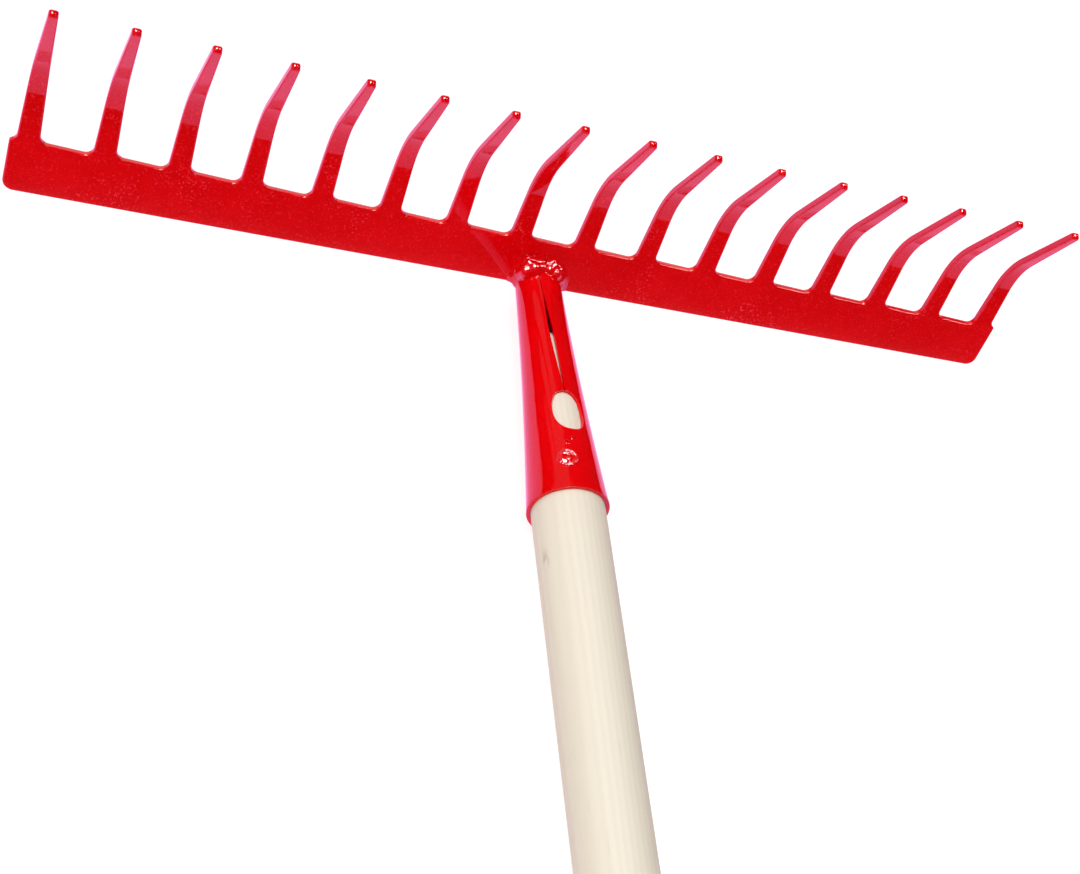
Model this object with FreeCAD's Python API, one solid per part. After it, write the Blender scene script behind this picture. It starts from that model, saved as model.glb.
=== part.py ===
"""A pressed-steel garden rake: a toothed plate welded to a tapered socket on a wooden handle.

Row frame, in millimetres: the origin is where the handle's centre line leaves the socket's mouth.
+Y runs along the handle towards the head, +Z is the side that the teeth point to, and +X is to the
right of a person who looks along +Y. The rake is a mirror image of itself in X = 0, apart from the
hand-made details on the socket and the slope of the gap floors.
"""
import FreeCAD, Part

import math
import os

V = FreeCAD.Vector

# ---- Toothed plate, sized in the plate's own frame --------------------------------------------
TOOTH_COUNT = 16
TOOTH_PITCH = 26.0
TOOTH_ROOT_WIDTH = 8.0
TOOTH_TIP_WIDTH = 3.2
TOOTH_STRAIGHT = 19.0          # from the gap floor to where the tooth starts to bend
TOOTH_BEND_RADIUS = 28.5       # on the front face
TOOTH_BEND_DEG = 35.5
TOOTH_END_RUN = 31.5           # straight again, from the bend to the tip
TOOTH_TIP_ROUND = 1.1          # radius on the tip's front and back edges
PLATE_THICKNESS = 3.0
BAR_HEIGHT = 20.0              # from the bar's free edge to the gap floors
BAR_END_MARGIN = 2.3           # the bar stands this far past the outer teeth
BAR_SHOULDER_RISE = 1.5        # the bar's ends stand this far above the gap floors
BAR_CORNER_RADIUS = 4.0
GAP_CORNER_RADIUS = 3.0
GAP_FLOOR_SLOPE_DEG = 2.5      # each gap floor runs slightly downhill towards +X

# ---- Socket -----------------------------------------------------------------------------------
PLATE_LEAN_DEG = 12.5          # the plate leans back from square to the handle
PLATE_SEAT_HEIGHT = 1.9        # handle's centre line above the bar's free edge, on the plate
SOCKET_LENGTH = 109.0          # mouth to the plate's front face, on the centre line
SOCKET_WALL = 1.4
SOCKET_NECK_RADIUS = 8.8       # outside, at the plate
SOCKET_WAIST = 0.75            # how far the cone's side is hollowed at half length
MOUTH_EDGE_ROUND = 0.45        # outer edge of the mouth

SLIT_WIDTH = 2.0               # widest opening of the seam
SLIT_START = 14.0              # from the plate to where the seam opens
SLIT_SKEW_DEG = 2.4            # the seam isn't quite in line with the socket
RELIEF_LENGTH = 18.6           # relief hole at the end of the seam
RELIEF_WIDTH = 12.4
RELIEF_FROM_MOUTH = 36.4       # its centre

# ---- Handle -----------------------------------------------------------------------------------
HANDLE_DIAMETER = 26.5
HANDLE_LENGTH = 1500.0
HANDLE_FIT = 0.15              # gap between the handle and the socket's wall
HANDLE_INSIDE = 77.0           # how far the handle goes into the socket
HANDLE_NOSE_ROUND = 2.0
BUTT_ROUND = 9.0

# ---- Welds ------------------------------------------------------------------------------------
WELD_LEG = 4.4                 # of the bead, along the plate
WELD_RISE = 6.0                # of the bead, along the socket
WELD_SEAM_GAP = 0.3            # between the left and right beads, at the seam
WELD_HOLLOW_OUT = 0.32         # how far out the bead's hollow face is, as a share of its leg
WELD_HOLLOW_UP = 0.62          # and how far along, as a share of its rise
UNDER_WELD_WIDTH = 25.0
UNDER_WELD_DROP = 8.6
UNDER_WELD_REACH = 4.2
TACK_RADIUS = 3.8
TACK_RISE = 1.1
TACK_FROM_MOUTH = 13.1
TACK_ANGLE_DEG = -16.0         # round the socket from the top, towards +X

# ---- Handle screw -----------------------------------------------------------------------------
SCREW_DIAMETER = 4.0
SCREW_HEAD_DIAMETER = 8.0
SCREW_HEAD_RISE = 2.0
SCREW_LENGTH = 15.0            # under the head
SCREW_POINT = 4.0
SCREW_FROM_MOUTH = 20.0
SCREW_SLOT_WIDTH = 1.0
SCREW_SLOT_DEPTH = 0.9
SCREW_FIT = 0.05               # gap between the shank and its holes

# ---- Worked out from the sizes above ----------------------------------------------------------
HANDLE_RADIUS = HANDLE_DIAMETER / 2
MOUTH_RADIUS = HANDLE_RADIUS + HANDLE_FIT + SOCKET_WALL
BEND = math.radians(TOOTH_BEND_DEG)
ROW_HALF = TOOTH_PITCH * (TOOTH_COUNT - 1) / 2
BAR_HALF = ROW_HALF + TOOTH_ROOT_WIDTH / 2 + BAR_END_MARGIN
TOOTH_HEIGHT = (
    TOOTH_STRAIGHT
    + TOOTH_BEND_RADIUS * math.sin(BEND)
    + TOOTH_END_RUN * math.cos(BEND)
)
REACH = 2 * TOOTH_HEIGHT       # how far a cutting tool runs past what it cuts


def polygon_face(points):
    """A flat face with straight sides through the points."""
    return Part.Face(Part.makePolygon(points + [points[0]]))


def round_edges(shape, radius, chosen):
    """Fillet the edges that the test accepts."""
    return shape.makeFillet(radius, [edge for edge in shape.Edges if chosen(edge)])


def runs_along(edge, direction):
    """Whether an edge is straight and parallel to a direction."""
    if edge.Curve.TypeId != "Part::GeomLine":
        return False
    run = edge.Vertexes[-1].Point - edge.Vertexes[0].Point
    return run.cross(direction).Length < 1e-6 * run.Length


# ---- Plate frame: x along the bar, y towards the tips, z out of the front face ----------------
def plate_placement():
    """Where the plate's frame stands in the row frame."""
    turn = FreeCAD.Rotation(V(1, 0, 0), 90 - PLATE_LEAN_DEG)
    seat = turn.multVec(V(0, PLATE_SEAT_HEIGHT, 0))
    return FreeCAD.Placement(V(0, SOCKET_LENGTH, 0) - seat, turn)


def bent_sheet():
    """The bar and the teeth as one bent strip, before the gaps are punched out."""
    bend_start = BAR_HEIGHT + TOOTH_STRAIGHT

    def on_bend(radius, angle):
        return V(0, bend_start + radius * math.sin(angle), TOOTH_BEND_RADIUS - radius * math.cos(angle))

    inner = TOOTH_BEND_RADIUS
    outer = TOOTH_BEND_RADIUS + PLATE_THICKNESS
    run = V(0, math.cos(BEND), math.sin(BEND)) * TOOTH_END_RUN
    front_tip = on_bend(inner, BEND) + run
    back_tip = on_bend(outer, BEND) + run
    edges = [
        Part.makeLine(V(0, 0, 0), on_bend(inner, 0)),
        Part.Arc(on_bend(inner, 0), on_bend(inner, BEND / 2), on_bend(inner, BEND)).toShape(),
        Part.makeLine(on_bend(inner, BEND), front_tip),
        Part.makeLine(front_tip, back_tip),
        Part.makeLine(back_tip, on_bend(outer, BEND)),
        Part.Arc(on_bend(outer, BEND), on_bend(outer, BEND / 2), on_bend(outer, 0)).toShape(),
        Part.makeLine(on_bend(outer, 0), V(0, 0, -PLATE_THICKNESS)),
        Part.makeLine(V(0, 0, -PLATE_THICKNESS), V(0, 0, 0)),
    ]
    section = Part.Face(Part.Wire(edges))
    section.translate(V(-BAR_HALF, 0, 0))
    sheet = section.extrude(V(2 * BAR_HALF, 0, 0))
    tips = [front_tip.y, back_tip.y]

    def at_tip(edge):
        height = edge.CenterOfMass.y
        return runs_along(edge, V(1, 0, 0)) and min(abs(height - tip) for tip in tips) < 1e-3

    return round_edges(sheet, TOOTH_TIP_ROUND, at_tip)


def punch(outline):
    """A cutting tool with the given outline, through the whole bent sheet."""
    tool = polygon_face(outline).extrude(V(0, 0, 2 * REACH))
    tool.translate(V(0, 0, -REACH))
    return tool


def tooth_side(height):
    """Half the width of a tooth, at a height above the gap floor."""
    share = height / TOOTH_HEIGHT
    return (TOOTH_ROOT_WIDTH + (TOOTH_TIP_WIDTH - TOOTH_ROOT_WIDTH) * share) / 2


def gap_punch(centre):
    """The tool for one gap: its sides follow the teeth, and its floor slopes."""
    fall = math.tan(math.radians(GAP_FLOOR_SLOPE_DEG)) * (TOOTH_PITCH - TOOTH_ROOT_WIDTH) / 2
    top = TOOTH_HEIGHT + PLATE_THICKNESS
    half_low = TOOTH_PITCH / 2 - tooth_side(0)
    half_high = TOOTH_PITCH / 2 - tooth_side(top)
    outline = [
        V(centre - half_low, BAR_HEIGHT + fall, 0),
        V(centre + half_low, BAR_HEIGHT - fall, 0),
        V(centre + half_high, BAR_HEIGHT + top, 0),
        V(centre - half_high, BAR_HEIGHT + top, 0),
    ]
    return round_edges(punch(outline), GAP_CORNER_RADIUS, on_floor)


def on_floor(edge):
    """Whether an edge is a lower corner of a gap's cutting tool."""
    middle_of_tooth = BAR_HEIGHT + TOOTH_HEIGHT / 2
    return runs_along(edge, V(0, 0, 1)) and edge.CenterOfMass.y < middle_of_tooth


def end_punch(side):
    """The tool that trims the sheet outside the last tooth on one side."""
    floor = BAR_HEIGHT + BAR_SHOULDER_RISE
    top = TOOTH_HEIGHT + PLATE_THICKNESS
    outline = [
        V(side * (ROW_HALF + tooth_side(BAR_SHOULDER_RISE)), floor, 0),
        V(side * (BAR_HALF + REACH), floor, 0),
        V(side * (BAR_HALF + REACH), BAR_HEIGHT + top, 0),
        V(side * (ROW_HALF + tooth_side(top)), BAR_HEIGHT + top, 0),
    ]
    return punch(outline)


def toothed_plate():
    """The stamped and bent plate, in its own frame."""
    gaps = [gap_punch(TOOTH_PITCH * (i - (TOOTH_COUNT - 2) / 2)) for i in range(TOOTH_COUNT - 1)]
    plate = bent_sheet().cut(gaps + [end_punch(-1), end_punch(1)])

    def at_bar_corner(edge):
        middle = edge.CenterOfMass
        at_end = abs(abs(middle.x) - BAR_HALF) < 1e-3
        return runs_along(edge, V(0, 0, 1)) and at_end and middle.y < BAR_HEIGHT / 2

    return round_edges(plate.Solids[0], BAR_CORNER_RADIUS, at_bar_corner)


def in_front_of_plate():
    """The space on the handle's side of the plate's front face, in the plate's frame."""
    size = 4 * SOCKET_LENGTH
    return Part.makeBox(size, size, size, V(-size / 2, -size / 2, 0))


# ---- Socket and handle, turned round the Y axis -----------------------------------------------
def socket_radius(y):
    """The socket's outer radius at a distance from the mouth."""
    half_way = (MOUTH_RADIUS + SOCKET_NECK_RADIUS) / 2 - SOCKET_WAIST
    side = Part.Circle(
        V(MOUTH_RADIUS, 0, 0),
        V(half_way, SOCKET_LENGTH / 2, 0),
        V(SOCKET_NECK_RADIUS, SOCKET_LENGTH, 0),
    )
    return side.Center.x - math.sqrt(side.Radius ** 2 - (y - side.Center.y) ** 2)


def side_arc(inset, near, far):
    """The socket's side between two distances from the mouth, moved inwards by an inset."""
    points = [V(socket_radius(y) - inset, y, 0) for y in (near, (near + far) / 2, far)]
    return Part.Arc(*points).toBSpline().toShape()


def turned(edges):
    """The solid that a closed half section makes when it is turned round the Y axis."""
    return Part.Face(Part.Wire(Part.__sortEdges__(edges))).revolve(V(0, 0, 0), V(0, 1, 0), 360)


def socket_blank(inset, core):
    """The socket's shell from an inset down to a core inset, run on past the plate."""
    far = SOCKET_LENGTH + SOCKET_NECK_RADIUS
    outer = side_arc(inset, 0, far)
    if core is None:
        inner = Part.makeLine(V(0, 0, 0), V(0, far, 0))
        inner_near = 0
        inner_far = 0
    else:
        inner = side_arc(core, 0, far)
        inner_near = socket_radius(0) - core
        inner_far = socket_radius(far) - core
    return turned([
        outer,
        Part.makeLine(V(socket_radius(far) - inset, far, 0), V(inner_far, far, 0)),
        inner,
        Part.makeLine(V(inner_near, 0, 0), V(socket_radius(0) - inset, 0, 0)),
    ])


def seam_punch():
    """The tool for the seam: a long lens that runs into the relief hole."""
    far = SOCKET_LENGTH - SLIT_START
    near = RELIEF_FROM_MOUTH + RELIEF_LENGTH / 4
    end = SLIT_WIDTH / 8
    wide = SLIT_WIDTH / 2
    widest = near + (far - near) * 0.65
    sides = [Part.Arc(V(s * end, near, 0), V(s * wide, widest, 0), V(s * end, far, 0)).toShape() for s in (1, -1)]
    ends = [Part.makeLine(V(-end, y, 0), V(end, y, 0)) for y in (near, far)]
    lens = Part.Face(Part.Wire(Part.__sortEdges__(sides + ends)))
    lens.rotate(V(0, RELIEF_FROM_MOUTH, 0), V(0, 0, 1), SLIT_SKEW_DEG)
    return lens.extrude(V(0, 0, 2 * MOUTH_RADIUS))


def relief_punch():
    """The tool for the relief hole, an oval that lies along the socket."""
    centre = V(0, RELIEF_FROM_MOUTH, 0)
    along = centre + V(0, RELIEF_LENGTH / 2, 0)
    across = centre + V(RELIEF_WIDTH / 2, 0, 0)
    oval = Part.Ellipse(along, across, centre).toShape()
    return Part.Face(Part.Wire([oval])).extrude(V(0, 0, 2 * MOUTH_RADIUS))


def screw_hole():
    """The hole for the handle's screw, from the handle's heart out through the socket."""
    radius = SCREW_DIAMETER / 2 + SCREW_FIT
    return Part.makeCylinder(radius, 2 * MOUTH_RADIUS, V(0, SCREW_FROM_MOUTH, screw_end()), V(0, 0, -1))


def screw_end():
    """The height of the screw's point."""
    return SCREW_LENGTH - socket_radius(SCREW_FROM_MOUTH)


def socket(front):
    """The rolled socket: trimmed to the plate, with its seam, relief hole and screw hole."""
    tube = socket_blank(0, SOCKET_WALL).common(front)
    tube = tube.cut([seam_punch(), relief_punch(), screw_hole()]).Solids[0]

    def at_mouth(edge):
        if edge.Curve.TypeId != "Part::GeomCircle" or abs(edge.CenterOfMass.y) > 1e-3:
            return False
        return abs(edge.Curve.Radius - MOUTH_RADIUS) < 1e-3

    return round_edges(tube, MOUTH_EDGE_ROUND, at_mouth)


def handle():
    """The turned handle: a nose that fits the socket, a long grip and a rounded butt."""
    inset = SOCKET_WALL + HANDLE_FIT
    nose = socket_radius(HANDLE_INSIDE) - inset
    butt = HANDLE_INSIDE - HANDLE_LENGTH
    stick = turned([
        Part.makeLine(V(0, butt, 0), V(HANDLE_RADIUS, butt, 0)),
        Part.makeLine(V(HANDLE_RADIUS, butt, 0), V(HANDLE_RADIUS, 0, 0)),
        side_arc(inset, 0, HANDLE_INSIDE),
        Part.makeLine(V(nose, HANDLE_INSIDE, 0), V(0, HANDLE_INSIDE, 0)),
        Part.makeLine(V(0, HANDLE_INSIDE, 0), V(0, butt, 0)),
    ])
    for y, radius in ((butt, BUTT_ROUND), (HANDLE_INSIDE, HANDLE_NOSE_ROUND)):
        stick = round_edges(stick, radius, lambda edge: at_level(edge, y))
    return stick.cut(screw_hole())


def at_level(edge, y):
    """Whether an edge is a circle round the Y axis at a distance along it."""
    return edge.Curve.TypeId == "Part::GeomCircle" and abs(edge.CenterOfMass.y - y) < 1e-3


def handle_screw(shell):
    """The round-headed wood screw, its head seated on the socket's underside."""
    seat = -socket_radius(SCREW_FROM_MOUTH)
    head_radius = SCREW_HEAD_DIAMETER / 2
    sink = head_radius ** 2 / abs(seat)
    dome = (head_radius ** 2 + SCREW_HEAD_RISE ** 2) / (2 * SCREW_HEAD_RISE)
    centre = V(0, SCREW_FROM_MOUTH, seat - SCREW_HEAD_RISE + dome)
    down = V(0, 0, -1)
    head = Part.makeSphere(dome, centre).common(
        Part.makeCylinder(head_radius, SCREW_HEAD_RISE + sink, V(0, SCREW_FROM_MOUTH, seat + sink), down)
    )
    shank_radius = SCREW_DIAMETER / 2
    shank = Part.makeCylinder(
        shank_radius, SCREW_LENGTH - SCREW_POINT, V(0, SCREW_FROM_MOUTH, screw_end() - SCREW_POINT), down
    )
    point = Part.makeCone(0, shank_radius, SCREW_POINT, V(0, SCREW_FROM_MOUTH, screw_end()), down)
    slot = Part.makeBox(SCREW_SLOT_WIDTH, SCREW_HEAD_DIAMETER, SCREW_HEAD_RISE)
    slot.translate(V(
        -SCREW_SLOT_WIDTH / 2,
        SCREW_FROM_MOUTH - head_radius,
        seat - 2 * SCREW_HEAD_RISE + SCREW_SLOT_DEPTH,
    ))
    return head.cut(shell).fuse([shank, point]).removeSplitter().cut(slot)


# ---- Welds ------------------------------------------------------------------------------------
def bead_ring(front):
    """A hollow-sided bead all round the socket's end, as far as the plate's front face."""
    start = SOCKET_LENGTH - WELD_RISE
    far = SOCKET_LENGTH + SOCKET_NECK_RADIUS / 2
    foot = SOCKET_NECK_RADIUS + WELD_LEG
    top = socket_radius(start)
    hollow = V(top + WELD_LEG * WELD_HOLLOW_OUT, start + WELD_RISE * WELD_HOLLOW_UP, 0)
    ring = turned([
        Part.Arc(V(top, start, 0), hollow, V(foot, SOCKET_LENGTH, 0)).toBSpline().toShape(),
        Part.makeLine(V(foot, SOCKET_LENGTH, 0), V(foot, far, 0)),
        Part.makeLine(V(foot, far, 0), V(0, far, 0)),
        Part.makeLine(V(0, far, 0), V(0, start, 0)),
        Part.makeLine(V(0, start, 0), V(top, start, 0)),
    ])
    return ring.common(front).cut(socket_blank(0, None))


def front_weld(side, ring, above_edge):
    """The bead on one side of the seam, down to the bar's free edge."""
    half = Part.makeBox(REACH, 2 * REACH, 2 * REACH, V(WELD_SEAM_GAP / 2, -REACH, -REACH))
    if side < 0:
        half = half.mirror(V(0, 0, 0), V(1, 0, 0))
    half.translate(V(0, SOCKET_LENGTH, 0))
    return ring.common(half).common(above_edge).Solids[0]


def drop_of_metal(half_width, half_length, half_height):
    """A ball stretched to three half sizes, about the origin."""
    stretch = FreeCAD.Matrix()
    stretch.scale(V(half_width, half_length, half_height))
    return Part.makeSphere(1.0).transformGeometry(stretch)


def under_weld(stand, tube):
    """The weld that closes the socket's lower lip against the bar's free edge."""
    blob = drop_of_metal(UNDER_WELD_WIDTH / 2, UNDER_WELD_DROP, UNDER_WELD_REACH)
    blob.translate(V(0, 0, -PLATE_THICKNESS / 2))
    below = Part.makeBox(2 * REACH, REACH, 2 * REACH, V(-REACH, -REACH, -REACH))
    blob = blob.common(below)
    blob.Placement = stand.multiply(blob.Placement)
    return max(blob.cut(tube).Solids, key=lambda solid: solid.Volume)


def tack_weld():
    """The button of weld metal that stands on the socket below the relief hole."""
    radius = socket_radius(TACK_FROM_MOUTH)
    button = drop_of_metal(TACK_RADIUS, TACK_RADIUS, TACK_RISE + SOCKET_WALL / 2)
    button.translate(V(0, TACK_FROM_MOUTH, radius - SOCKET_WALL / 2))
    button.rotate(V(0, 0, 0), V(0, 1, 0), TACK_ANGLE_DEG)
    return button.cut(socket_blank(0, None))


def build():
    """Every piece in the row frame, by the name of its node."""
    stand = plate_placement()
    plate = toothed_plate()
    plate.Placement = stand.multiply(plate.Placement)
    front = in_front_of_plate()
    front.Placement = stand.multiply(front.Placement)
    above_edge = Part.makeBox(2 * REACH, REACH, 2 * REACH, V(-REACH, 0, -REACH))
    above_edge.Placement = stand.multiply(above_edge.Placement)
    tube = socket(front)
    ring = bead_ring(front)
    return {
        "toothed_plate": plate,
        "socket": tube,
        "weld_left": front_weld(-1, ring, above_edge),
        "weld_right": front_weld(1, ring, above_edge),
        "weld_under": under_weld(stand, tube),
        "tack_weld": tack_weld(),
        "handle": handle(),
        "handle_screw": handle_screw(socket_blank(0, None)),
    }


os.makedirs("parts", exist_ok=True)
for name, shape in build().items():
    if len(shape.Solids) != 1:
        raise ValueError(name + " isn't one solid")
    piece = shape.Solids[0]
    piece.exportStep("parts/" + name + ".step")
    box = piece.optimalBoundingBox()
    corners = (box.XMin, box.YMin, box.ZMin, box.XMax, box.YMax, box.ZMax)
    print(name, piece.isValid(), round(piece.Volume, 1), [round(value, 2) for value in corners])
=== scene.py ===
"""The looks of a pressed-steel garden rake: red enamelled head and socket on a pale wooden handle.

Everything is in metres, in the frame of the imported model: +Y runs along the handle towards the head,
+Z is the side that the teeth point to, and the origin is at the socket's mouth.
"""
import logging
import math
from contextlib import contextmanager
from dataclasses import dataclass, field
from enum import Enum
from typing import Callable, Iterable, Iterator, Optional, Sequence, Union

import bmesh
import bpy
from mathutils import Matrix, Vector


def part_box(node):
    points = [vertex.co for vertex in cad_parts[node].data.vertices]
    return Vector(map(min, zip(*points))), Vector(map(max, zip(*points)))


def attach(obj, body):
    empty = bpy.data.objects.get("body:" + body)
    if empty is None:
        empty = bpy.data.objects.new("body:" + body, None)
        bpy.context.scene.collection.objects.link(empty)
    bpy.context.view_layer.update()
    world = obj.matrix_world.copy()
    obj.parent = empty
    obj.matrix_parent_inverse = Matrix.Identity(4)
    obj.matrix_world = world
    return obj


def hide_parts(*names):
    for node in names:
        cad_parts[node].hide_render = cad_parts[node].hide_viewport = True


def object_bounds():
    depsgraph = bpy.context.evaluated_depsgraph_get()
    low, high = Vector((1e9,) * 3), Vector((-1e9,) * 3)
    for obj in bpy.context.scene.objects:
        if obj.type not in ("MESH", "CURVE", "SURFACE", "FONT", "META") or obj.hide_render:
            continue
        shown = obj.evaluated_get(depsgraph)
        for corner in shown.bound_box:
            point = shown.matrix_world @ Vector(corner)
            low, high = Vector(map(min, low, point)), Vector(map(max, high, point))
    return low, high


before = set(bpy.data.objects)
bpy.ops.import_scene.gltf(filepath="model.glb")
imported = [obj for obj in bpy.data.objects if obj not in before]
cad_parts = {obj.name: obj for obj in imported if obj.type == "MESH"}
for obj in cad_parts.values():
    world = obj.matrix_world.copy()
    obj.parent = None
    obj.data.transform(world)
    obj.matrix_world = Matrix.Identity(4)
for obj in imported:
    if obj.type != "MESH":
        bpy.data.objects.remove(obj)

CAD_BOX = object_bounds()
MM = 0.001
SOCKET_LENGTH = 109 * MM
PLATE_LEAN = math.radians(12.5)
EDGE_SEGMENTS = 4
LOG = logging.getLogger("rake")

Colour = tuple[float, float, float, float]
Place = tuple[float, float, float]
Shares = tuple[float, float, float]
Step = tuple[float, float]  # where a smooth step from 0 to 1 starts and ends
Drop = tuple[float, float, float, float]  # x, y, z and radius, in millimetres
Value = Union[float, int, Sequence[float], "Sock"]


# ---- Shader maths -----------------------------------------------------------------------------
class Sock:
    """A shader socket that can be used in plain arithmetic."""

    def __init__(self, shader: "Shader", socket: bpy.types.NodeSocket) -> None:
        """Wrap an output socket of one of a shader's nodes."""
        self.shader = shader
        self.socket = socket

    def _math(self, operation: str, first: Value, second: Value = 0.0) -> "Sock":
        """The result of a new Math node."""
        return self.shader.node("ShaderNodeMath", {"operation": operation}, {0: first, 1: second})

    def __add__(self, other: Value) -> "Sock":
        """This value plus another."""
        return self._math("ADD", self, other)

    def __radd__(self, other: Value) -> "Sock":
        """Another value plus this."""
        return self._math("ADD", other, self)

    def __sub__(self, other: Value) -> "Sock":
        """This value minus another."""
        return self._math("SUBTRACT", self, other)

    def __rsub__(self, other: Value) -> "Sock":
        """Another value minus this."""
        return self._math("SUBTRACT", other, self)

    def __mul__(self, other: Value) -> "Sock":
        """This value times another."""
        return self._math("MULTIPLY", self, other)

    def __rmul__(self, other: Value) -> "Sock":
        """Another value times this."""
        return self._math("MULTIPLY", other, self)

    def __pow__(self, power: Value) -> "Sock":
        """This value to a power."""
        return self._math("POWER", self, power)

    def sine(self) -> "Sock":
        """The sine of this value."""
        return self._math("SINE", self)

    def between(self, low: float, high: float) -> "Sock":
        """A smooth step from 0 to 1, as this value goes from one limit to the other."""
        inputs = {0: self, 1: low, 2: high, 3: 0.0, 4: 1.0}
        return self.shader.node("ShaderNodeMapRange", {"interpolation_type": "SMOOTHSTEP"}, inputs)


@dataclass(frozen=True)
class Grain:
    """A soft random pattern, which a squeeze below 1 draws out along the handle."""

    scale: float
    detail: float = 2.0
    roughness: float = 0.5
    squeeze: float = 1.0


class Shader:
    """A material under construction, whose patterns read the piece's own coordinates."""

    def __init__(self, owner: Union[bpy.types.Material, bpy.types.World]) -> None:
        """Start with no nodes at all.

        Args:
            owner: What the nodes are for.
        """
        self.owner = owner
        owner.use_nodes = True
        self.tree = owner.node_tree
        self.tree.nodes.clear()

    @classmethod
    def material(cls, name: str) -> "Shader":
        """Start the shader of a new material."""
        return cls(bpy.data.materials.new(name))

    def node(self, kind: str, settings: dict, inputs: dict, output: Union[str, int] = 0) -> Sock:
        """Add any node.

        Args:
            kind: The node's type.
            settings: Its own settings, set first.
            inputs: The value or link of each socket, by name or number.
            output: Which output to return, by name or number.

        Returns:
            The wanted output.
        """
        made = self.tree.nodes.new(kind)
        for key, value in settings.items():
            setattr(made, key, value)
        for key, value in inputs.items():
            if isinstance(value, Sock):
                self.tree.links.new(value.socket, made.inputs[key])
            else:
                made.inputs[key].default_value = value
        return Sock(self, made.outputs[output])

    def place(self) -> Sock:
        """The point on the surface, in the piece's own coordinates, which are the row frame's."""
        return self.node("ShaderNodeTexCoord", {}, {}, "Object")

    def axis(self, place: Sock, name: str) -> Sock:
        """One coordinate of a point, by its axis's name."""
        return self.node("ShaderNodeSeparateXYZ", {}, {"Vector": place}, name)

    def vector(self, operation: str, first: Value, second: Value, output: Union[str, int] = 0) -> Sock:
        """The result of a new Vector Math node."""
        inputs = {0: first, 1: second}
        return self.node("ShaderNodeVectorMath", {"operation": operation}, inputs, output)

    def noise(self, place: Sock, grain: Grain) -> Sock:
        """A soft random pattern from 0 to 1.

        Args:
            place: Where it is read.
            grain: Its features in a metre, its finer layers and their strength, and its squeeze.

        Returns:
            The pattern's value.
        """
        if grain.squeeze != 1.0:
            place = self.vector("MULTIPLY", place, (1.0, grain.squeeze, 1.0))
        inputs = {"Vector": place, "Scale": grain.scale, "Detail": grain.detail}
        inputs["Roughness"] = grain.roughness
        return self.node("ShaderNodeTexNoise", {}, inputs)

    def flecks(self, place: Sock, scale: float, size: float) -> Sock:
        """Small round flecks, 1 at their middle and 0 between them.

        Args:
            place: Where the pattern is read.
            scale: How many flecks there are in a metre.
            size: The share of a fleck's cell that it covers.

        Returns:
            The mask.
        """
        core = size / 2
        distance = self.node("ShaderNodeTexVoronoi", {}, {"Vector": place, "Scale": scale}, "Distance")
        return 1.0 - distance.between(core, size)

    def mix(self, low: Value, high: Value, factor: Value) -> Sock:
        """A mix of two colours, from the first at factor 0 to the second at factor 1."""
        return self.node("ShaderNodeMix", {"data_type": "RGBA"}, {0: factor, 6: low, 7: high}, 2)

    def bump(self, height: Sock, depth: float, strength: float = 1.0, under: Optional[Sock] = None) -> Sock:
        """A normal that is tilted by a height pattern.

        Args:
            height: The pattern, from 0 to 1.
            depth: The height of its full range, in metres.
            strength: How much of it is used.
            under: A finer bump's normal that this one is added to.

        Returns:
            The tilted normal.
        """
        inputs = {"Height": height, "Distance": depth, "Strength": strength}
        if under:
            inputs["Normal"] = under
        return self.node("ShaderNodeBump", {}, inputs)

    def finish(self, **sockets: Value) -> bpy.types.Material:
        """End the material in a Principled surface.

        Args:
            sockets: Each socket's value or link, with _ for each space in its name.

        Returns:
            The material.
        """
        inputs = {key.replace("_", " "): value for key, value in sockets.items()}
        self.show(self.node("ShaderNodeBsdfPrincipled", {}, inputs), "ShaderNodeOutputMaterial")
        return self.owner

    def show(self, surface: Sock, kind: str) -> None:
        """Link a surface to an output node of a kind."""
        output = self.tree.nodes.new(kind)
        self.tree.links.new(surface.socket, output.inputs["Surface"])


# ---- Finishes ---------------------------------------------------------------------------------
def grey(level: float) -> Colour:
    """A grey of a level from 0 to 1."""
    return (level, level, level, 1.0)


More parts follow.
